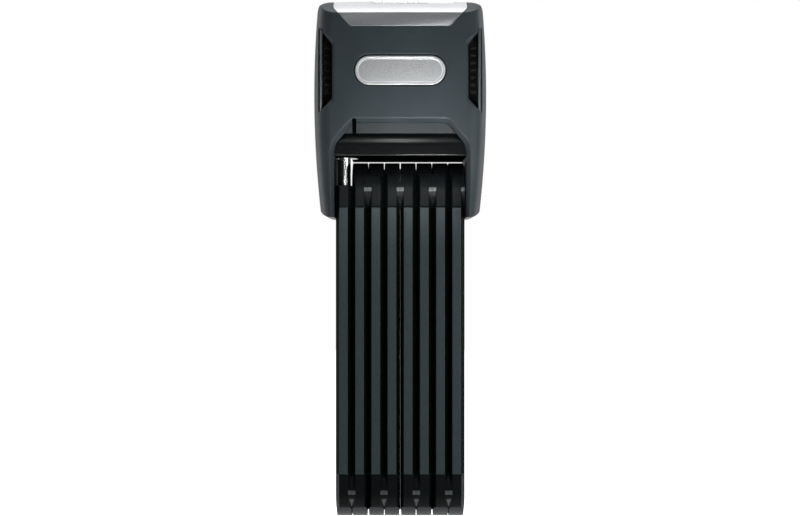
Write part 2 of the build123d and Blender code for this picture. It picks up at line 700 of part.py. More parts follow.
def vent_grille(side, room):
    """Tray behind one window: sound outlets in its floor and an upright rib."""
    tray = room & vent_prism(side, TRAY_FLOOR_Y + TRAY_WALL, TRAY_WALL)
    tray -= vent_prism(side, TRAY_FLOOR_Y, 0)
    rib_x = sorted((side * RIB_X[0], side * RIB_X[1]))
    tray += span_box(rib_x, (RIB_FRONT_Y, TRAY_FLOOR_Y), VENT_Z) & vent_prism(side, TRAY_FLOOR_Y, -SEAM)
    outlet_x = sorted((side * OUTLET_X[0], side * OUTLET_X[1]))
    for index in range(OUTLET_COUNT):
        low = OUTLET_FIRST_Z + index * OUTLET_PITCH
        tray -= span_box(outlet_x, (TRAY_FLOOR_Y - 1, TRAY_FLOOR_Y + 3), (low, low + OUTLET_HIGH))
    return tray


def vent_screen(side):
    """Dark rain screen behind the sound outlets."""
    x = sorted((side * SCREEN_X[0], side * SCREEN_X[1]))
    front = TRAY_FLOOR_Y + TRAY_WALL + FIT
    high = OUTLET_FIRST_Z + OUTLET_COUNT * OUTLET_PITCH
    return span_box(x, (front, front + SCREEN_THICK), (OUTLET_FIRST_Z - 1, high))


def siren():
    """Round sounder facing the right vent, with a stepped rear can."""
    body = x_rod(SIREN_R, SIREN_X[0] + 5, SIREN_X[1], LINK_Y, SIREN_Z)
    body += x_rod(SIREN_R - 3, SIREN_X[0], SIREN_X[0] + 5, LINK_Y, SIREN_Z)
    return body - x_rod(SIREN_R - 5, SIREN_X[1] - 2, SIREN_X[1] + 1, LINK_Y, SIREN_Z)


def battery():
    """Lithium cell of the siren with its raised contact."""
    high = BATTERY_LOW_Z + BATTERY_LENGTH
    cell = z_rod(BATTERY_R, BATTERY_LOW_Z, high - 1, BATTERY_X, LINK_Y)
    return cell + z_rod(2.6, high - 1, high, BATTERY_X, LINK_Y)


def circuit_board():
    """Board of the alarm with its motion sensor and controller."""
    board = span_box((-BOARD_HALF_X, BOARD_HALF_X), BOARD_Y, BOARD_Z)
    board += span_box((13.5, 20.5), (BOARD_Y[0] - 1.2, BOARD_Y[0]), (-4.0, 0.0))
    return board + span_box((-32, -27), (BOARD_Y[0] - 1.2, BOARD_Y[0]), (24, 28))


def housing_screws():
    """Four screws from the back: two into the ears, two into the case."""
    screws = Part()
    ends = ((EAR_SCREW, SCREW_END_Y - 12), (CASE_SCREW, SCREW_END_Y))
    for (x, z), end in ends:
        for side in (-1, 1):
            shank = y_rod(SCREW_R, end, -SCREW_WELL, side * x, z)
            head = y_rod(SCREW_HEAD_R, -SCREW_WELL, -SCREW_WELL + SCREW_HEAD_THICK, side * x, z)
            hexagon = Plane(origin=(side * x, 0, z), x_dir=(1, 0, 0), z_dir=(0, 1, 0)) * RegularPolygon(1.4, 6)
            head -= extrude(hexagon, 1.6, dir=(0, -1, 0))
            screws += shank + head
    return screws


def all_nodes():
    """Every node by name."""
    outer = body_form(0)
    skin = body_skin()
    room = body_form(WALL + SEAM)
    nodes = {
        "front_shell": front_shell(skin, outer),
        "rear_shell": rear_shell(skin, outer),
        "top_cover": top_cover(outer),
        "keyhole_slider": keyhole_slider(),
        "badge_plate": badge_plate(),
        "lock_case": lock_case(),
        "rod_socket": rod_socket(),
        "inner_frame": inner_frame(),
        "pivot_bracket": pivot_bracket(),
        "cylinder_housing": cylinder_housing(),
        "key_plug": key_plug(),
        "plug_cam": plug_cam(),
        "locking_bolt": locking_bolt(),
        "vent_grille_left": vent_grille(-1, room),
        "vent_grille_right": vent_grille(1, room),
        "vent_screen_left": vent_screen(-1),
        "vent_screen_right": vent_screen(1),
        "siren": siren(),
        "battery": battery(),
        "circuit_board": circuit_board(),
        "housing_screws": housing_screws(),
        "locking_rod": locking_rod(),
        "rivet_body": body_rivet(),
    }
    for number in range(1, LINK_COUNT + 1):
        nodes[f"link_{number}_core"] = link_core(number)
        nodes[f"link_{number}_sleeve"] = link_sleeve(number)
        nodes[f"link_{number}_covers"] = link_covers(number)
    for number in range(1, LINK_COUNT):
        nodes[f"rivet_{number}_{number + 1}"] = rivet(number)
    return nodes


os.makedirs("parts", exist_ok=True)
for name, shape in all_nodes().items():
    export_step(shape, f"parts/{name}.step")
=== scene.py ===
# %% [markdown]
# # A folding bike lock, dressed for the studio
# The lock is eight coated steel links folded under a moulded lock body. Its mechanical
# model is loaded first, as a fixed frame: every casing, rivet and pin is already in
# place and already knows which moving body it belongs to. The cells below add what a
# mechanical model lacks: light, finishes, and the soft edges that moulded and coated
# parts have.

# %% Load the frame
import bmesh
import bpy
import json
import math
import numpy as np
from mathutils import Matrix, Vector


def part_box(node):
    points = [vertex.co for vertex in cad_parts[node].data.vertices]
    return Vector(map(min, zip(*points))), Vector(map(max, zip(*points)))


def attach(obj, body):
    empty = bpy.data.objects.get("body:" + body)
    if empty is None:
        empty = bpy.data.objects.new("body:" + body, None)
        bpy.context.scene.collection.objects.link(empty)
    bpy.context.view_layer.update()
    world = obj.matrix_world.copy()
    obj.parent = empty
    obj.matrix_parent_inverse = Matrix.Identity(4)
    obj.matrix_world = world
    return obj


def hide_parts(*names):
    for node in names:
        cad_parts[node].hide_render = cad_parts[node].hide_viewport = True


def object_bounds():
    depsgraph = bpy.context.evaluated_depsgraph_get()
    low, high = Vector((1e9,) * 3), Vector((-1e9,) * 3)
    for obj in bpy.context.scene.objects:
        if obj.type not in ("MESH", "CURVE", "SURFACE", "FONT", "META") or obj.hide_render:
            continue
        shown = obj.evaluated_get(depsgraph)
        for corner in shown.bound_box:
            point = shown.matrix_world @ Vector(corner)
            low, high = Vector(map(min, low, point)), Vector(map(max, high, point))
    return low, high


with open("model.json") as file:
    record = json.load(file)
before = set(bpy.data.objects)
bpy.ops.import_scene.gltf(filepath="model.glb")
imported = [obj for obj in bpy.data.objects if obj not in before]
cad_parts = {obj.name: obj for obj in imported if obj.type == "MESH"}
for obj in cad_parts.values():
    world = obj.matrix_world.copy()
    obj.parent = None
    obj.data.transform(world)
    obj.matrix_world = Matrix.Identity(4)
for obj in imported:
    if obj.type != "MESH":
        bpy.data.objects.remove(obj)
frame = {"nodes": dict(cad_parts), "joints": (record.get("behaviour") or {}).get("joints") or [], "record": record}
cad_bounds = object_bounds()
MM = 0.001

# %% [markdown]
# ## Where things are
# The sizes that the new pieces need are read from the model itself, so that nothing
# has to be fitted by eye: the pivots come from the joints, and the width and pitch of
# the links from their boxes.

# %% Measure the links
LINK_COUNT = 8


def low_high(node):
    """Lowest and highest corner of a node as arrays."""
    low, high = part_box(node)
    return np.array(low), np.array(high)


def pivot_of(joint_name):
    """Place of a hinge, from the record's joints."""
    joint = next(j for j in frame["joints"] if j["name"] == joint_name)
    return np.array(joint["pos_m"])


SLEEVE_LOW, SLEEVE_HIGH = low_high("link_2_sleeve")
COVER_LOW = low_high("link_3_covers")[0]
TOP_PIVOT = pivot_of("link_8_pivot")
BOTTOM_PIVOT = pivot_of("link_7_pivot")
END_RADIUS = BOTTOM_PIVOT[2] - COVER_LOW[2]
LINK_MID_Y = BOTTOM_PIVOT[1]
HALF_THICK = (SLEEVE_HIGH[0] - SLEEVE_LOW[0]) / 2 + 0.06 * MM
PITCH = low_high("link_3_sleeve")[0][0] - SLEEVE_LOW[0]
COVER_REACH = SLEEVE_LOW[2] - BOTTOM_PIVOT[2]
print("end radius", END_RADIUS, "half thickness", HALF_THICK, "pitch", PITCH)

# %% [markdown]
# ## Camera
# A product view from straight ahead with a normal lens. The camera stands level with
# the upper third of the links, so it sees a little of the body's underside.

# %% Place the camera
CAMERA_DISTANCE = 0.550
CAMERA_HEIGHT = -0.083
VIEW_WIDTH = 0.3952          # what the frame's width covers at the links' front edge
SENSOR_WIDTH = 36.0
camera_data = bpy.data.cameras.new("studio_camera")
camera_data.sensor_width = SENSOR_WIDTH
camera_data.lens = SENSOR_WIDTH * CAMERA_DISTANCE / VIEW_WIDTH
camera = bpy.data.objects.new("studio_camera", camera_data)
bpy.context.scene.collection.objects.link(camera)
camera.location = (-0.0001, LINK_MID_Y - END_RADIUS - CAMERA_DISTANCE, CAMERA_HEIGHT)
camera.rotation_euler = (math.radians(90), 0, 0)
bpy.context.scene.camera = camera
bpy.context.scene.view_settings.view_transform = "Standard"
print("lens", round(camera_data.lens, 1), "mm")

# %% [markdown]
# ## Helpers for materials
# Colours are picked as sRGB hex values, as in any paint program, and Blender wants
# linear light, so one function converts them. A second one adds a node, sets it and
# links it, which keeps each material a short list of steps.

# %% Colour and node helpers


def linear(hex_value):
    """Turn an sRGB hex colour into linear RGBA: the standard sRGB curve, per channel."""
    channels = np.array([int(hex_value[i:i + 2], 16) for i in (1, 3, 5)]) / 255
    curved = np.where(channels <= 0.04045, channels / 12.92, ((channels + 0.055) / 1.055) ** 2.4)
    return (*curved.tolist(), 1.0)


def add_node(material, kind, settings=None, inputs=None):
    """Add one node, set its properties, and give each input a value or a link."""
    tree = material.node_tree
    node = tree.nodes.new(kind)
    for name, value in (settings or {}).items():
        setattr(node, name, value)
    for name, value in (inputs or {}).items():
        if isinstance(value, bpy.types.NodeSocket):
            tree.links.new(value, node.inputs[name])
        else:
            node.inputs[name].default_value = value
    return node


def new_material(name):
    """An empty node material with its output and its shader joined."""
    material = bpy.data.materials.new(name)
    material.use_nodes = True
    material.node_tree.nodes.clear()
    output = add_node(material, "ShaderNodeOutputMaterial")
    shader = add_node(material, "ShaderNodeBsdfPrincipled")
    material.node_tree.links.new(shader.outputs["BSDF"], output.inputs["Surface"])
    return material, shader


def feed(material, shader, socket_name, source):
    """Link a node's output into one of the shader's sockets."""
    material.node_tree.links.new(source, shader.inputs[socket_name])


def object_point(material):
    """Object coordinates, in metres, for patterns with a real size."""
    return add_node(material, "ShaderNodeTexCoord").outputs["Object"]


def grain(material, point, size_mm, detail=2.0, roughness=0.55):
    """Noise whose lumps are about size_mm across."""
    inputs = {"Vector": point, "Scale": 1000.0 / size_mm, "Detail": detail, "Roughness": roughness}
    return add_node(material, "ShaderNodeTexNoise", None, inputs)


def ramp(material, factor, stops):
    """Colour ramp from (position, hex) stops."""
    node = add_node(material, "ShaderNodeValToRGB", None, {"Fac": factor})
    while len(node.color_ramp.elements) < len(stops):
        node.color_ramp.elements.new(0.5)
    for element, (position, colour) in zip(node.color_ramp.elements, stops):
        element.position = position
        element.color = linear(colour)
    return node.outputs["Color"]


def remap(material, value, low, high, from_low=0.3, from_high=0.7):
    """Stretch a value from one range to another."""
    inputs = {"Value": value, "From Min": from_low, "From Max": from_high, "To Min": low, "To Max": high}
    return add_node(material, "ShaderNodeMapRange", None, inputs).outputs["Result"]


def bump(material, height, depth_mm, strength=1.0, below=None):
    """Bump of a real depth, laid over an earlier bump if one is given."""
    inputs = {"Height": height, "Distance": depth_mm * MM, "Strength": strength}
    if below is not None:
        inputs["Normal"] = below
    return add_node(material, "ShaderNodeBump", None, inputs).outputs["Normal"]


def soft_edge(material, radius_mm):
    """Normal averaged within a small radius, which rounds every sharp edge the way a mould does."""
    return add_node(material, "ShaderNodeBevel", {"samples": 6}, {"Radius": radius_mm * MM}).outputs["Normal"]


print("helpers ready")

# %% [markdown]
# ## Casing: spark-eroded glass-filled nylon
# The two casing shells are injection moulded in a tool with a spark-eroded texture:
# a fine even grain about a tenth of a millimetre across, which breaks up reflections
# and gives a satin dark grey. The grain is drawn three times coarser than the real
# one, because finer grain would vanish in the render.

# %% Casing plastic


def moulded_nylon(name, dark, light, gloss, sheen_level=0.5, edge_mm=0.35):
    """Satin moulded plastic: fine grain in the bump, slow cloudiness in the colour."""
    material, shader = new_material(name)
    point = object_point(material)
    fine = grain(material, point, 0.35, 3.0)
    slow = grain(material, point, 14.0, 2.0)
    feed(material, shader, "Base Color", ramp(material, slow.outputs["Fac"], [(0.3, dark), (0.7, light)]))
    feed(material, shader, "Roughness", remap(material, fine.outputs["Fac"], gloss - 0.05, gloss + 0.06))
    rounded = soft_edge(material, edge_mm)
    feed(material, shader, "Normal", bump(material, fine.outputs["Fac"], 0.012, 0.55, rounded))
    shader.inputs["IOR"].default_value = 1.5
    shader.inputs["Specular IOR Level"].default_value = sheen_level
    return material


casing_nylon = moulded_nylon("casing_moulded_nylon", "#242c2f", "#293135", 0.45, 0.28, 1.0)
frame_nylon = moulded_nylon("inner_frame_matt_nylon", "#272b2d", "#2d3133", 0.6, 0.3)
print(casing_nylon.name, frame_nylon.name)

# %% [markdown]
# ## Top cover and slider: silver lacquer on ABS
# Metallic lacquer is tiny aluminium flakes in clear binder. Each flake lies at a
# slightly different tilt, so the surface has a faint sparkle under a soft clear coat.
# The upright apron takes a darker copy of the lacquer as painted shade, for faces turned away from the light
# overhead.

# %% Silver lacquer


def silver_lacquer(name, dark, light, metal_share):
    """Metallic paint: a part-metal base with flake noise and a thin clear coat."""
    material, shader = new_material(name)
    point = object_point(material)
    flake = add_node(material, "ShaderNodeTexVoronoi", None, {"Vector": point, "Scale": 4200.0})
    slow = grain(material, point, 9.0)
    feed(material, shader, "Base Color", ramp(material, flake.outputs["Color"], [(0.1, dark), (0.9, light)]))
    feed(material, shader, "Roughness", remap(material, slow.outputs["Fac"], 0.33, 0.41))
    rounded = soft_edge(material, 0.4)
    feed(material, shader, "Normal", bump(material, flake.outputs["Distance"], 0.004, 0.3, rounded))
    shader.inputs["Metallic"].default_value = metal_share
    shader.inputs["Coat Weight"].default_value = 0.25
    shader.inputs["Coat Roughness"].default_value = 0.12
    return material


silver_paint = silver_lacquer("silver_lacquer_top", "#b9bbbe", "#cccdd0", 0.35)
# apron copy: darker colours as painted shade on the upright faces
apron_shade_paint = silver_lacquer("silver_lacquer_apron", "#7c7e81", "#8d8f92", 0.55)
print(silver_paint.name, apron_shade_paint.name)

# %% [markdown]
# ## Badge: blasted aluminium
# The plain oval plate is aluminium, bead blasted in its field, so it sparkles in a
# fine random grain. The rim and the bead round the field have metals of their own.

# %% Blasted aluminium


def blasted_aluminium():
    """Part-metal with a speckled colour, roughness and bump, all from one noise."""
    material, shader = new_material("blasted_aluminium")
    point = object_point(material)
    speck = grain(material, point, 0.45, 4.0, 0.7)
    blasted = ramp(material, speck.outputs["Fac"], [(0.35, "#929495"), (0.65, "#bec0c2")])
    feed(material, shader, "Base Color", blasted)
    feed(material, shader, "Roughness", remap(material, speck.outputs["Fac"], 0.34, 0.5))
    feed(material, shader, "Normal", bump(material, speck.outputs["Fac"], 0.02, 0.6))
    shader.inputs["Metallic"].default_value = 0.6
    return material


badge_aluminium = blasted_aluminium()
print(badge_aluminium.name)

# %% [markdown]
# ## Lock case: gloss black ABS
# The case under the arch comes from a polished tool. It is nearly black and mirrors
# the studio in a soft band. Only a very slow ripple, such as every moulding has from
# shrinkage, keeps the reflection from being perfect.

# %% Gloss black


def gloss_abs():
    """Polished black plastic with a faint shrinkage ripple and fine dust."""
    material, shader = new_material("gloss_black_abs")
    point = object_point(material)
    ripple = grain(material, point, 22.0, 1.0)
    dust = grain(material, point, 0.5, 4.0, 0.8)
    dusted = ramp(material, dust.outputs["Fac"], [(0.4, "#040607"), (0.75, "#0a0d0e")])
    feed(material, shader, "Base Color", dusted)
    feed(material, shader, "Roughness", remap(material, dust.outputs["Fac"], 0.13, 0.19))
    rounded = soft_edge(material, 0.3)
    feed(material, shader, "Normal", bump(material, ripple.outputs["Fac"], 0.015, 0.2, rounded))
    shader.inputs["IOR"].default_value = 1.52
    return material


case_abs = gloss_abs()
case_matt = moulded_nylon("lock_case_matt_side", "#030404", "#050606", 0.75, 0.0)
# lighter grey for the vent rib: painted light on a rib that sits in the window's shade
rib_light_paint = moulded_nylon("vent_rib_nylon", "#4a4f51", "#54595b", 0.45)
# near-black tray: painted shade for the recess behind the windows
tray_shade_paint = moulded_nylon("vent_tray_black_nylon", "#010202", "#040505", 0.7, 0.1)
# near-black material for the painted shade strips in the seam and the rod's corner
shade_black_paint = moulded_nylon("black_foam_strip", "#010202", "#020303", 0.9, 0.05)
print(case_abs.name, case_matt.name, shade_black_paint.name)

# %% [markdown]
# ## Links: grained soft coat and smooth end covers
# The steel bars are over-moulded twice. The middle has a two-component soft coat with
# a sandy grain that doesn't scratch a bicycle's paint. The ends are hard, smooth and
# darker, so that they slide on each other at the rivets.

# %% Link coatings


def soft_coat(name, dark, light, gloss):
    """Sandy soft coat: lighter crests, darker pits, and a coarse bump under a fine one."""
    material, shader = new_material(name)
    point = object_point(material)
    sand = grain(material, point, 0.55, 3.0, 0.7)
    fine = grain(material, point, 0.22, 2.0)
    feed(material, shader, "Base Color", ramp(material, sand.outputs["Fac"], [(0.36, dark), (0.64, light)]))
    feed(material, shader, "Roughness", remap(material, sand.outputs["Fac"], gloss - 0.06, gloss + 0.08))
    coarse = bump(material, sand.outputs["Fac"], 0.05, 0.6)
    feed(material, shader, "Normal", bump(material, fine.outputs["Fac"], 0.015, 0.4, coarse))
    shader.inputs["IOR"].default_value = 1.48
    return material


link_soft_coat = soft_coat("link_soft_coat", "#253136", "#334146", 0.6)
# near-black coat with almost no reflection: painted shade on the sleeves' bevels and sides in the valleys between
# links, and on the upper tip pads under the body
painted_shade_link_coat = soft_coat("link_backing_coat", "#040607", "#080b0c", 0.7)
painted_shade_link_coat.node_tree.nodes["Principled BSDF"].inputs["Specular IOR Level"].default_value = 0.04
tip_soft_coat = soft_coat("tip_grained_nylon", "#1a2022", "#272e31", 0.55)
cover_nylon = moulded_nylon("end_cover_smooth_nylon", "#05090a", "#090f11", 0.5, 0.12)
hub_nylon = moulded_nylon("hub_polished_nylon", "#05080a", "#090d0e", 0.4, 0.15)
# light grey for the hub's land and heel strips: painted highlight at the rivet's height and painted reflection of
# the floor below it
hub_highlight_paint = moulded_nylon("hub_worn_land_nylon", "#4b5052", "#565b5d", 0.35, 0.4)
print(link_soft_coat.name, cover_nylon.name, hub_nylon.name)

# %% [markdown]
# ## Metals: chrome, machined steel, black rivets, brass
# A metal keeps Blender's default index of refraction and takes its look from colour and
# roughness. Chrome is nearly a mirror. Machined steel has fine lines along its cut.
# The rivets are chemically blackened, and the key plug is turned brass.

# %% Metals


def metal(name, dark, light, rough, line_mm, stretch, relief=0.4):
    """Worked metal: noise stretched along one axis makes the lines of the tool."""
    material, shader = new_material(name)
    point = object_point(material)
    mapping = add_node(material, "ShaderNodeMapping", None, {"Vector": point, "Scale": stretch})
    lines = grain(material, mapping.outputs["Vector"], line_mm, 3.0)
    feed(material, shader, "Base Color", ramp(material, lines.outputs["Fac"], [(0.35, dark), (0.65, light)]))
    feed(material, shader, "Roughness", remap(material, lines.outputs["Fac"], rough * 0.8, rough * 1.2))
    feed(material, shader, "Normal", bump(material, lines.outputs["Fac"], 0.004, relief))
    shader.inputs["Metallic"].default_value = 1.0
    return material


chrome_plate = metal("chromed_steel", "#dcdee0", "#e8eaec", 0.26, 1.5, (1.0, 1.0, 0.1), 0.04)
machined_steel = metal("machined_hard_steel", "#76787a", "#96989a", 0.3, 0.3, (1.0, 1.0, 0.12))
blackened_steel = metal("blackened_rivet_steel", "#1c2022", "#2a2f31", 0.32, 0.4, (1.0, 1.0, 1.0))
turned_brass = metal("turned_brass", "#a88748", "#c8a864", 0.28, 0.25, (1.0, 1.0, 0.2))
badge_rim_metal = metal("badge_turned_rim", "#b7b9ba", "#cacccd", 0.55, 0.4, (1.0, 1.0, 1.0))
badge_bead_metal = metal("badge_polished_bead", "#e6e7e8", "#f4f5f5", 0.5, 0.4, (1.0, 1.0, 1.0))
screw_zinc = metal("black_zinc_screw", "#17191b", "#26292b", 0.35, 0.3, (1.0, 1.0, 1.0))
print("metals ready")

# %% [markdown]
# ## Inner parts
# The rain screen is a woven cloth with a pitch of half a millimetre. The board has a
# green solder mask, the battery a plain shrink sleeve. They sit inside the housing, but
# they are finished all the same.

# %% Inner finishes


def woven_screen():
    """Black plain weave: two crossed wave patterns, half a millimetre apart."""
    material, shader = new_material("woven_rain_screen")
    point = object_point(material)
    thread = {"Vector": point, "Scale": math.tau / 20 / (0.5 * MM), "Distortion": 0.0}
    warp = add_node(material, "ShaderNodeTexWave", {"bands_direction": "Y"}, thread)
    weft = add_node(material, "ShaderNodeTexWave", {"bands_direction": "Z"}, thread)
    both = add_node(material, "ShaderNodeMath", {"operation": "MULTIPLY"},
                    {0: warp.outputs["Fac"], 1: weft.outputs["Fac"]})
    cloth = ramp(material, both.outputs["Value"], [(0.1, "#020303"), (0.8, "#101314")])
    feed(material, shader, "Base Color", cloth)
    feed(material, shader, "Normal", bump(material, both.outputs["Value"], 0.05, 0.6))
    shader.inputs["Roughness"].default_value = 0.8
    shader.inputs["Sheen Weight"].default_value = 0.1
    return material


screen_cloth = woven_screen()
siren_abs = moulded_nylon("siren_can_abs", "#101213", "#181a1c", 0.3)
battery_sleeve = moulded_nylon("battery_shrink_sleeve", "#2c3744", "#364252", 0.25)
board_mask = moulded_nylon("green_solder_mask", "#0f3f22", "#16512d", 0.25)
print("inner finishes ready")

# %% Give every node its finish
FINISHES = {
    "shell_plastic": casing_nylon,
    "silver_cover": silver_paint,
    "badge_metal": badge_aluminium,
    "case_gloss": case_abs,
    "frame_plastic": frame_nylon,
    "hard_steel": machined_steel,
    "rod_chrome": chrome_plate,
    "link_coat": link_soft_coat,
    "link_cover": cover_nylon,
    "rivet_steel": blackened_steel,
    "plug_brass": turned_brass,
    "screen_cloth": screen_cloth,
    "siren_plastic": siren_abs,
    "battery_case": battery_sleeve,
    "board_laminate": board_mask,
}
NODE_SLOT = {row["node"]: row["material_slot"] for row in frame["record"]["subparts"]}


def finish_node(node, material):
    """Put one material on a node of the frame."""
    slots = frame["nodes"][node].data.materials
    slots.clear()
    slots.append(material)


for node_name, slot_name in NODE_SLOT.items():
    finish_node(node_name, FINISHES[slot_name])
finish_node("housing_screws", screw_zinc)
print("finished nodes:", len(NODE_SLOT))

# %% [markdown]
# ## Link surfaces
# A link's edge is a narrow flat with a wide bevel on each side. The sleeve is that
# section carried straight up; an end cover is the same section carried round the
# rivet. Both are worked out as grids: one parameter runs round the outline, the other
# across the thickness. A Bevel modifier then rounds the sharp edges, as a mould does.

# %% Grid to mesh
FLAT_HALF = 2.2 * MM
BEVEL_DEPTH = 3.2 * MM
HUB_RADIUS = 13.8 * MM
WINDOW_RADIUS = 6.8 * MM
CORE_HALF = 2.5 * MM
TIP_JOINED = 3.9 * MM
TIP_FREE = 3.67 * MM
TIP_HEIGHT = 6.8 * MM
EDGE_ROUND = 0.35 * MM
PAD_ANGLE = math.acos(1 - TIP_HEIGHT / END_RADIUS)
PAD_CORNER = 1.4 * MM
PAD_RECESS = 0.4 * MM        # how far the cover lies below its tip pad
PAD_HUB_RADIUS = 11.2 * MM   # radius of the hub where the tip pad covers it
HUB_GAP = 0.006 * MM         # what a hub leaves free before the middle between two links
PATCH_GAP = 0.008 * MM       # the same for a patch on the hub
PATCH_SINK = 0.03 * MM       # how far a patch's face lies inside the link's outline
PATCH_DEPTH = 1.4 * MM
# the land and heel strips are light grey: painted highlight at the rivet's height and painted reflection of the
# floor below it
LAND_TURNS, LAND_WIDTHS = (-4.3, 4.3), (1.95, 1.95)
HEEL_TURNS, HEEL_WIDTHS = (13, 31), (1.1, 0.05)
POLE = 0.02                  # radius, as a share, of the small ring where a disc closes
ROUND_STEPS = 96
PATCH_STEPS = 9
link_x = [(n - (LINK_COUNT + 1) / 2) * PITCH for n in range(1, LINK_COUNT + 1)]


def grid_faces(rows, columns, closed):
    """Quads of a grid of rows by columns; closed joins the last column to the first."""
    r, c = np.meshgrid(np.arange(rows - 1), np.arange(columns if closed else columns - 1), indexing="ij")
    after = (c + 1) % columns
    near, far = r * columns, (r + 1) * columns
    return np.stack([near + c, near + after, far + after, far + c], -1).reshape(-1, 4)


def make_piece(name, points, faces, material, body):
    """Build a mesh from arrays, give it a material, and let it ride on a body."""
    mesh = bpy.data.meshes.new(name)
    mesh.from_pydata(points.reshape(-1, 3).tolist(), [], [list(map(int, f)) for f in faces])
    mesh.validate()
    piece = bpy.data.objects.new(name, mesh)
    bpy.context.scene.collection.objects.link(piece)
    mesh.materials.append(material)
    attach(piece, body)
    return piece


def close_ends(faces, rows, columns):
    """Add the polygon that closes the first ring and the one that closes the last."""
    first = list(range(columns))[::-1]
    last = [(rows - 1) * columns + k for k in range(columns)]
    return [*faces.tolist(), first, last]


def round_edges(piece, width, segments=3, angle=28):
    """Bevel every edge sharper than the angle, then shade smooth."""
    modifier = piece.modifiers.new("rounded_edges", "BEVEL")
    modifier.width = width
    modifier.segments = segments
    modifier.limit_method = "ANGLE"
    modifier.angle_limit = math.radians(angle)
    modifier.harden_normals = True
    piece.data.polygons.foreach_set("use_smooth", np.ones(len(piece.data.polygons), bool))
    return piece


print("grid helpers ready")

# %% Sleeves


def link_section(x):
    """Eight corners of a link's section: half widths FLAT_HALF at the edge and HALF_THICK at the side."""
    side = END_RADIUS - BEVEL_DEPTH
    right = np.array([FLAT_HALF, HALF_THICK, HALF_THICK, FLAT_HALF])
    rising = np.array([-END_RADIUS, -side, side, END_RADIUS])
    dx = np.concatenate([right, -right])
    dy = np.concatenate([rising, rising[::-1]])
    return np.stack([x + dx, LINK_MID_Y + dy], -1)


def prism(name, x, heights, material, body):
    """Section of a link carried straight up: the same eight corners at each height."""
    section = link_section(x)
    rings = np.stack([np.column_stack([section, np.full(len(section), z)]) for z in heights])
    faces = close_ends(grid_faces(len(heights), len(section), True), len(heights), len(section))
    return make_piece(name, rings, faces, material, body)


def darken_sides(sleeve):
    """Give the near-black painted shade coat to the bevels and sides, whose normals lean over 30 degrees to X."""
    sleeve.data.materials.append(painted_shade_link_coat)
    normals = np.empty(len(sleeve.data.polygons) * 3)
    sleeve.data.polygons.foreach_get("normal", normals)
    leaning = np.abs(normals.reshape(-1, 3)[:, 0]) > 0.5
    sleeve.data.polygons.foreach_set("material_index", leaning.astype(int))


for number, x in enumerate(link_x, 1):
    low, high = low_high(f"link_{number}_sleeve")
    heights = (low[2], high[2])
    sleeve = prism(f"link_{number}_soft_sleeve", x, heights, link_soft_coat, f"link_{number}")
    darken_sides(sleeve)
    round_edges(sleeve, EDGE_ROUND)
    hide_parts(f"link_{number}_sleeve")
print("sleeves:", LINK_COUNT)

# %% End covers


def cover_radius(angle, inset):
    """Distance from the rivet to the cover's outline, drawn in by the inset, at each angle from the tip."""
    across = np.abs(np.sin(angle))
    along = -np.cos(angle)
    to_side = (END_RADIUS - inset) / np.maximum(across, 1e-6)
    to_sleeve = np.where(along > 1e-6, COVER_REACH / np.maximum(along, 1e-6), np.inf)
    straight = np.minimum(to_side, to_sleeve)
    return np.where(along > 0, straight, END_RADIUS - inset)


def near_tip(angle, limit):
    """Whether a direction lies within the limit of the tip's direction, both in radians."""
    return np.abs((angle + np.pi) % math.tau - np.pi) < limit


def surface_height(angle, radius):
    """Half thickness of the cover where a ray from the rivet has gone a given distance: flat, bevel, side."""
    along = -np.cos(angle) * radius
    across = np.abs(np.sin(angle)) * radius
    inset = np.where(along > 0, END_RADIUS - across, END_RADIUS - radius)
    share = np.clip(inset / BEVEL_DEPTH, 0, 1)
    return FLAT_HALF + share * (HALF_THICK - FLAT_HALF)


def polar_piece(name, x, pivot, up, side, rings, angle, material, body):
    """Closed piece from (radius, offset) rings about a rivet. up is +1 where the tip points up. side is +1
    where the joined link lies."""
    radius = np.stack([r for r, _ in rings])
    offset = np.stack([t for _, t in rings])
    points = np.stack([
        x + side * offset,
        pivot[1] + np.sin(angle) * radius,
        pivot[2] + up * np.cos(angle) * radius,
    ], -1)
    faces = close_ends(grid_faces(len(rings), len(angle), True), len(rings), len(angle))
    return make_piece(name, points, faces, material, body)


def hub_disc(name, x, pivot, up, side, body):
    """Round boss on a cover's joined side, which closes the valley between the two links. It is a closed disc
    without a bore for the rivet."""
    angle = np.linspace(0, math.tau, ROUND_STEPS, endpoint=False)
    rim = np.minimum(cover_radius(angle, 0.0) * 0.999, HUB_RADIUS)
    rim = np.where(near_tip(angle, PAD_ANGLE * 0.9), PAD_HUB_RADIUS, rim)
    zero = np.zeros_like(angle)
    pole = zero + HUB_RADIUS * POLE
    top = zero + PITCH / 2 - HUB_GAP
    rings = [(pole, zero), (rim, zero), (rim, top), (pole, top)]
    return polar_piece(name, x, pivot, up, side, rings, angle, hub_nylon, body)


def hub_patch(name, x, pivot, up, side, turns, widths, body):
    """Raised strip on the hub's front, light grey as painted highlight. It runs from the first turn to the second,
    in degrees towards the tip from level with the rivet, and is as wide as the widths say, measured from the
    joined face."""
    turn = np.radians(np.linspace(*turns, PATCH_STEPS))
    width = np.linspace(*widths, PATCH_STEPS) * MM
    joined = np.full(PATCH_STEPS, PITCH / 2 - PATCH_GAP)
    across = np.stack([joined - width, joined, joined, joined - width])
    radius = END_RADIUS - np.array([PATCH_SINK, PATCH_SINK, PATCH_DEPTH, PATCH_DEPTH])
    points = np.stack([
        x + side * across,
        pivot[1] - radius[:, None] * np.cos(turn),
        pivot[2] + up * radius[:, None] * np.sin(turn),
    ], -1).transpose(1, 0, 2)
    faces = close_ends(grid_faces(PATCH_STEPS, 4, True), PATCH_STEPS, 4)
    return make_piece(name, points, faces, hub_highlight_paint, body)


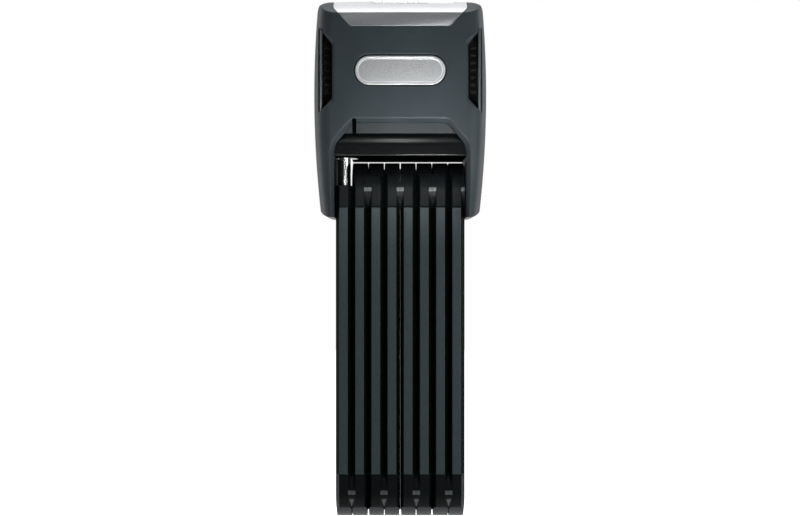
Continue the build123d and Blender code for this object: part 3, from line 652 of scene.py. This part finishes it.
def end_cover(name, x, pivot, up, side, body):
    """Cover round one rivet as rings of a polar grid: across the window's side, round the rim, to the joined
    side. up is +1 where the tip points up. side is +1 where the joined link lies. The cover closes over the
    rivet: it has no bore."""
    angle = np.linspace(0, math.tau, ROUND_STEPS, endpoint=False)
    full = cover_radius(angle, 0.0) - np.where(near_tip(angle, PAD_ANGLE), PAD_RECESS, 0.0)
    inner = np.maximum(cover_radius(angle, BEVEL_DEPTH), WINDOW_RADIUS * 1.04)
    zero = np.zeros_like(angle)
    rings = [
        (zero + WINDOW_RADIUS * POLE, zero - CORE_HALF),
        (zero + WINDOW_RADIUS, zero - CORE_HALF),
        (zero + WINDOW_RADIUS, zero - HALF_THICK),
        (inner, -surface_height(angle, inner)),
        (full, -surface_height(angle, full)),
        (full, surface_height(angle, full)),
        (inner, surface_height(angle, inner)),
        (zero + WINDOW_RADIUS * POLE, zero + HALF_THICK),
    ]
    return polar_piece(name, x, pivot, up, side, rings, angle, cover_nylon, body)


def tip_pad(name, x, pivot, up, side, body):
    """Grained pad at a tip: a slice of the round end between its arc and a chord. Near the chord its sides
    are drawn in along a quarter circle, r (1 - sqrt(1 - u^2)), where u runs from 0 to 1 over the last r of
    arc."""
    angle = np.linspace(-PAD_ANGLE, PAD_ANGLE, 61)
    front_y = pivot[1] + np.sin(angle) * END_RADIUS
    tip_z = pivot[2] + up * np.cos(angle) * END_RADIUS
    profile = np.stack([front_y, tip_z], -1)
    # upper tip pads get the near-black coat as painted shade under the body; lower ones the grained tip coat
    free, material = (TIP_JOINED, painted_shade_link_coat) if up > 0 else (TIP_FREE, tip_soft_coat)
    near_chord = np.clip((np.abs(angle) - PAD_ANGLE) * END_RADIUS / PAD_CORNER + 1, 0, 1)
    drawn_in = PAD_CORNER * (1 - np.sqrt(1 - near_chord ** 2))
    sides = (-side * free, side * TIP_JOINED)
    points = np.stack([np.column_stack([x + s - np.sign(s) * drawn_in, profile]) for s in sides])
    faces = close_ends(grid_faces(2, len(profile), True), 2, len(profile))
    return make_piece(name, points, faces, material, body)


def joined_side(number, at_top):
    """+1 where that end is riveted to the next link, -1 where to the one before."""
    return -1 if (number % 2 == 1) == at_top else 1


def recalculate_normals(piece):
    """Point every face of a closed piece outwards."""
    mesh = bmesh.new()
    mesh.from_mesh(piece.data)
    bmesh.ops.recalc_face_normals(mesh, faces=mesh.faces)
    mesh.to_mesh(piece.data)
    mesh.free()


def dress_end(number, x, at_top):
    """Cover, hub and tip pad at one riveted end of a link."""
    body = f"link_{number}"
    place = "upper" if at_top else "lower"
    pivot, up = (TOP_PIVOT, 1) if at_top else (BOTTOM_PIVOT, -1)
    side = joined_side(number, at_top)
    return [
        end_cover(f"link_{number}_{place}_cover", x, pivot, up, side, body),
        hub_disc(f"link_{number}_{place}_hub", x, pivot, up, side, body),
        hub_patch(f"link_{number}_{place}_hub_land", x, pivot, up, side, LAND_TURNS, LAND_WIDTHS, body),
        tip_pad(f"link_{number}_{place}_tip", x, pivot, up, side, body),
    ]


EDGE_WIDTHS = {"cover": 0.3 * MM, "hub": 0.06 * MM, "land": 0.25 * MM, "heel": 0.02 * MM, "tip": 0.7 * MM,
               "shoulder": 0.3 * MM}
for number, x in enumerate(link_x, 1):
    made = dress_end(number, x, False)
    side = joined_side(number, False)
    body = f"link_{number}"
    # heel strip below the lower hub: painted reflection of the floor
    made.append(hub_patch(f"{body}_hub_heel", x, BOTTOM_PIVOT, -1, side, HEEL_TURNS, HEEL_WIDTHS, body))
    if number > 1:
        made += dress_end(number, x, True)
    else:
        shoulder = low_high("link_1_covers")[1][2]
        heights = (TOP_PIVOT[2] - COVER_REACH, shoulder)
        made.append(prism("link_1_shoulder", x, heights, cover_nylon, "link_1"))
    for piece in made:
        recalculate_normals(piece)
        round_edges(piece, EDGE_WIDTHS[piece.name.split("_")[-1]])
    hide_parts(f"link_{number}_covers")
print("covers and tips made")

# %% [markdown]
# ## Badge
# The badge is a plate with round ends, in three pieces: a flat rim with a soft corner, a
# fine raised bead inside it, and a field sunk a third of a millimetre. Each step of a
# profile is one ring of a grid that runs round the plate.

# %% Badge plate
BADGE_LOW, BADGE_HIGH = low_high("badge_plate")
BADGE_TOP_Y = BADGE_LOW[1]


def stadium(inset, count=160):
    """Plate outline drawn in by the inset: two half circles joined by straights, as x and z."""
    radius = (BADGE_HIGH[2] - BADGE_LOW[2]) / 2
    half_straight = (BADGE_HIGH[0] - BADGE_LOW[0]) / 2 - radius
    turn = np.linspace(0, math.tau, count, endpoint=False)
    centre_x = np.where(np.cos(turn) >= 0, half_straight, -half_straight)
    middle_z = (BADGE_HIGH[2] + BADGE_LOW[2]) / 2
    return centre_x + (radius - inset) * np.cos(turn), middle_z + (radius - inset) * np.sin(turn)


def stadium_piece(name, profile, material):
    """Closed piece from (inset, depth behind the front) steps, both in millimetres."""
    rings = []
    for inset, depth in profile:
        x, z = stadium(inset * MM)
        rings.append(np.stack([x, np.full_like(x, BADGE_TOP_Y + depth * MM), z], -1))
    points = np.stack(rings)
    faces = close_ends(grid_faces(len(rings), points.shape[1], True), len(rings), points.shape[1])
    piece = make_piece(name, points, faces, material, "lock_body")
    recalculate_normals(piece)
    piece.data.polygons.foreach_set("use_smooth", np.ones(len(piece.data.polygons), bool))
    piece.data.set_sharp_from_angle(angle=math.radians(35))
    return piece


rim_profile = [(0, 1.45), (0, 0.2), (0.06, 0.08), (0.2, 0), (1.0, 0.02), (1.15, 0.12), (1.75, 0.3),
               (1.75, 1.45)]
badge_rim = stadium_piece("badge_rim", rim_profile, badge_rim_metal)
field_profile = [(1.7, 1.4), (1.7, 0.34), (2.2, 0.3), (3.5, 0.24), (5.0, 0.2), (6.8, 0.18)]
badge_field = stadium_piece("badge_field", field_profile, badge_aluminium)
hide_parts("badge_plate")
bead_profile = [(1.22, 0.4), (1.22, 0.0), (1.3, -0.12), (1.52, -0.12), (1.62, 0.0), (1.62, 0.4)]
badge_bead = stadium_piece("badge_bead", bead_profile, badge_bead_metal)
print("badge:", badge_rim.name, badge_field.name, badge_bead.name)

# %% [markdown]
# ## Lock case, trays, top cover and seams
# The case is polished on its front only, which is drawn as one smooth bar; its underside
# and back are left matt from the tool. A black strip in the seam of the frame is painted shade.
# The trays behind the windows are near black as painted shade, and their upright rib is a lighter
# grey as painted light. Two black strips in the corner of the casing beside the rod are painted shade.

# %% Tray and top cover finishes
RIB_X = (38.35 * MM, 39.45 * MM)
RIB_BACK_Y = -36.02 * MM


def merged_copy(name, node, materials, body, choose):
    """Copy of a node with its doubles merged; choose(normals, centres) gives each face its material."""
    source = frame["nodes"][node]
    mesh = bpy.data.meshes.new(name)
    work = bmesh.new()
    work.from_mesh(source.data)
    work.transform(source.matrix_world)
    bmesh.ops.remove_doubles(work, verts=work.verts, dist=1e-6)
    work.to_mesh(mesh)
    work.free()
    for material in materials:
        mesh.materials.append(material)
    count = len(mesh.polygons)
    normals = np.empty(count * 3)
    centres = np.empty(count * 3)
    mesh.polygons.foreach_get("normal", normals)
    mesh.polygons.foreach_get("center", centres)
    chosen = choose(normals.reshape(-1, 3), centres.reshape(-1, 3))
    mesh.polygons.foreach_set("material_index", chosen.astype(int))
    mesh.polygons.foreach_set("use_smooth", np.ones(count, bool))
    mesh.set_sharp_from_angle(angle=math.radians(30))
    piece = bpy.data.objects.new(name, mesh)
    bpy.context.scene.collection.objects.link(piece)
    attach(piece, body)
    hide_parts(node)
    return piece


def grille_finish(normals, centres):
    """0, near black as painted shade, in the tray; 1, lighter grey as painted light, on the sides and front of the
    upright rib.
    """
    across = np.abs(centres[:, 0])
    in_rib = (across > RIB_X[0]) & (across < RIB_X[1]) & (centres[:, 1] < RIB_BACK_Y)
    return in_rib & (np.abs(normals[:, 2]) < 0.5)


TRAY_MATERIALS = [tray_shade_paint, rib_light_paint]
CAP_MATERIALS = [silver_paint, apron_shade_paint]
for label in ("left", "right"):
    merged_copy(f"vent_tray_{label}", f"vent_grille_{label}", TRAY_MATERIALS, "lock_body",
                grille_finish)


def cap_finish(normals, centres):
    """0, the light lacquer, on the domed top; 1, the darker copy with painted shade, where a face is upright."""
    return np.abs(normals[:, 2]) < 0.35


merged_copy("top_cover_lacquered", "top_cover", CAP_MATERIALS, "lock_body", cap_finish)
print("trays and top cover finished")

# %% Polished front of the case
CASE_LOW, CASE_HIGH = low_high("lock_case")
BROW_BACK, BROW_UP, LIP = 2.6 * MM, 6.2 * MM, 0.4 * MM
BAR_PROUD = 0.04 * MM        # how far the bar's face lies before the case
BAR_END = 0.1 * MM           # what the bar leaves free at each end
BAR_DEPTH = 2.4 * MM


def case_front_profile():
    """Side profile of the polished front, from the lip up and over the brow, as y and z. The brow is an arc
    that starts upright; its radius is (back^2 + up^2) / (2 back)."""
    front = CASE_LOW[1] - BAR_PROUD
    radius = (BROW_BACK ** 2 + BROW_UP ** 2) / (2 * BROW_BACK)
    turn = np.linspace(0, math.asin(BROW_UP / radius), 16)
    brow_y = front + radius * (1 - np.cos(turn))
    brow_z = CASE_HIGH[2] - BROW_UP + radius * np.sin(turn)
    upright_z = np.linspace(CASE_LOW[2] + LIP, CASE_HIGH[2] - BROW_UP, 8)[:-1]
    back_y = [brow_y[-1] + 0.8 * MM, front + LIP + BAR_DEPTH]
    low_z = CASE_LOW[2] + 0.01 * MM
    y = np.concatenate([[front + LIP], np.full(len(upright_z), front), brow_y, back_y])
    z = np.concatenate([[low_z], upright_z, brow_z, [brow_z[-1], low_z]])
    return y, z


profile_y, profile_z = case_front_profile()
bar_x = np.linspace(CASE_LOW[0] + BAR_END, CASE_HIGH[0] - BAR_END, 25)
bar_points = np.stack([np.column_stack([np.full_like(profile_y, x), profile_y, profile_z]) for x in bar_x])
bar_faces = close_ends(grid_faces(len(bar_x), len(profile_y), True), len(bar_x), len(profile_y))
case_bar = make_piece("lock_case_gloss_front", bar_points, bar_faces, case_abs, "lock_body")
recalculate_normals(case_bar)
case_bar.data.polygons.foreach_set("use_smooth", np.ones(len(case_bar.data.polygons), bool))
case_bar.data.set_sharp_from_angle(angle=math.radians(28))
finish_node("lock_case", case_matt)
print("case bar faces:", len(case_bar.data.polygons))

# %% Painted shade strips
FRAME_LOW, FRAME_HIGH = low_high("inner_frame")
REAR_LOW = low_high("rear_shell")[0]
SHADE_SHEET = 0.15 * MM
LEG_WALL_X = -32.4 * MM      # inner face of the left leg
BACK_WALL_Y = -4.0 * MM      # front face of the lug beside the rod


def black_strip(name, low, high):
    """Thin black strip that fills the box between two corners; it stands for painted shade."""
    ring = np.array([(low[0], low[1]), (high[0], low[1]), (high[0], high[1]), (low[0], high[1])])
    points = np.stack([np.column_stack([ring, np.full(4, z)]) for z in (low[2], high[2])])
    faces = close_ends(grid_faces(2, 4, True), 2, 4)
    strip = make_piece(name, points, faces, shade_black_paint, "lock_body")
    recalculate_normals(strip)
    return strip


# black strip in the frame's seam: painted shade in the gap
seam_low = (-23.5 * MM, FRAME_LOW[1] + 1.9 * MM, FRAME_LOW[2])
seam_high = (-21.7 * MM, FRAME_LOW[1] + 2.35 * MM, FRAME_HIGH[2] - 0.2 * MM)
black_strip("frame_seam_foam", seam_low, seam_high)
# black strips on the left leg's wall and the lug beside the rod: painted shade in that corner, which the rod
# mirrors
shade_low_z = REAR_LOW[2] + 8 * MM
shade_high_z = CASE_LOW[2] - 0.5 * MM
leg_low = (LEG_WALL_X, CASE_LOW[1] + 1.2 * MM, shade_low_z)
leg_high = (LEG_WALL_X + SHADE_SHEET, BACK_WALL_Y - SHADE_SHEET, shade_high_z)
black_strip("leg_flock", leg_low, leg_high)
back_low = (LEG_WALL_X, BACK_WALL_Y - SHADE_SHEET, shade_low_z)
back_high = (LEG_WALL_X + 0.75 * MM, BACK_WALL_Y, shade_high_z)
black_strip("back_flock", back_low, back_high)
print("strips ready")

# %% [markdown]
# ## Studio
# A white background all round, as for a catalogue picture. What the dark plastic shows
# is mostly reflection, so the light is arranged for that: white behind and below, dark
# in front, a broad soft light overhead, a box at the front right, and a strip beside each
# flank. A narrow box makes the line on the case's brow, a box below lights the tips, and
# two small cards close by lift the lower front and the rod.

# %% World and lights


def studio_world():
    """White for the camera; for reflections a gradient from dark in front to bright behind."""
    world = bpy.data.worlds.new("studio")
    bpy.context.scene.world = world
    world.use_nodes = True
    world.node_tree.nodes.clear()
    output = add_node(world, "ShaderNodeOutputWorld")
    direction = add_node(world, "ShaderNodeTexCoord").outputs["Generated"]
    split = add_node(world, "ShaderNodeSeparateXYZ", None, {"Vector": direction})
    back = remap(world, split.outputs["Y"], 0.10, 1.0, -0.6, 0.6)
    below = remap(world, split.outputs["Z"], 0.55, 0.0, -0.7, 0.1)
    total = add_node(world, "ShaderNodeMath", {"operation": "ADD"}, {0: back, 1: below}).outputs["Value"]
    studio = add_node(world, "ShaderNodeBackground", None, {"Strength": total, "Color": (1, 1, 1, 1)})
    paper = add_node(world, "ShaderNodeBackground", None, {"Strength": 1.0, "Color": (1, 1, 1, 1)})
    seen = add_node(world, "ShaderNodeLightPath").outputs["Is Camera Ray"]
    mixed = add_node(world, "ShaderNodeMixShader", None, {"Fac": seen})
    world.node_tree.links.new(studio.outputs["Background"], mixed.inputs[1])
    world.node_tree.links.new(paper.outputs["Background"], mixed.inputs[2])
    world.node_tree.links.new(mixed.outputs["Shader"], output.inputs["Surface"])
    return world


def soft_light(name, place, aim, size, watts, spread=180):
    """Rectangular soft box that points at a place. A spread under 180 degrees stands for a grid on it."""
    data = bpy.data.lights.new(name, "AREA")
    data.shape = "RECTANGLE"
    data.size, data.size_y = size
    data.energy = watts
    data.spread = math.radians(spread)
    light = bpy.data.objects.new(name, data)
    bpy.context.scene.collection.objects.link(light)
    light.location = place
    toward = np.array(aim) - np.array(place)
    yaw = math.atan2(toward[1], toward[0]) - math.pi / 2
    pitch = math.atan2(toward[2], math.hypot(toward[0], toward[1])) + math.pi / 2
    light.rotation_euler = (pitch, 0, yaw)
    return light


studio_world()
soft_light("top_box", (0, -0.05, 0.75), (0, -0.02, 0.0), (0.9, 0.4), 5.5)
soft_light("front_box", (0.21, -0.27, -0.07), (0.01, 0, -0.04), (0.14, 0.14), 0.4)
soft_light("brow_box", (0.0, -0.64, 0.50), (0, 0, -0.02), (0.03, 0.34), 0.26)
soft_light("front_card", (0.014, -0.130, -0.062), (0.010, -0.042, -0.006), (0.03, 0.03), 0.031, 75)
soft_light("rod_card", (-0.040, -0.19, -0.062), (-0.029, -0.02, -0.045), (0.03, 0.02), 0.0024, 40)
soft_light("under_box", (0.0, -0.62, -0.78), (0, 0, -0.18), (0.5, 0.3), 0.8)
for side, label in ((-1, "left"), (1, "right")):
    strip_aim = (side * 0.03, -0.02, -0.03)
    soft_light(f"edge_strip_{label}", (side * 0.55, 0.12, 0.02), strip_aim, (0.10, 0.60), 1.2)
print("lights ready")

# %% Floor
FLOOR_DROP = 0.25
floor_size = 8.0
corners = np.array([[-1, -1, 0], [1, -1, 0], [1, 1, 0], [-1, 1, 0]]) * floor_size / 2
floor_mesh = bpy.data.meshes.new("studio_floor")
floor_mesh.from_pydata((corners + [0, 0, cad_bounds[0][2] - FLOOR_DROP]).tolist(), [], [[0, 1, 2, 3]])
floor = bpy.data.objects.new("studio_floor", floor_mesh)
bpy.context.scene.collection.objects.link(floor)
paper, paper_shader = new_material("floor_paper")
fibre = grain(paper, object_point(paper), 1.5, 3.0)
paper_white = ramp(paper, fibre.outputs["Fac"], [(0.3, "#f4f4f4"), (0.7, "#fbfbfb")])
feed(paper, paper_shader, "Base Color", paper_white)
paper_shader.inputs["Roughness"].default_value = 0.9
paper_shader.inputs["Emission Color"].default_value = (1, 1, 1, 1)
paper_shader.inputs["Emission Strength"].default_value = 0.9
floor_mesh.materials.append(paper)
floor.visible_glossy = False
floor.visible_diffuse = False
print("floor ready")
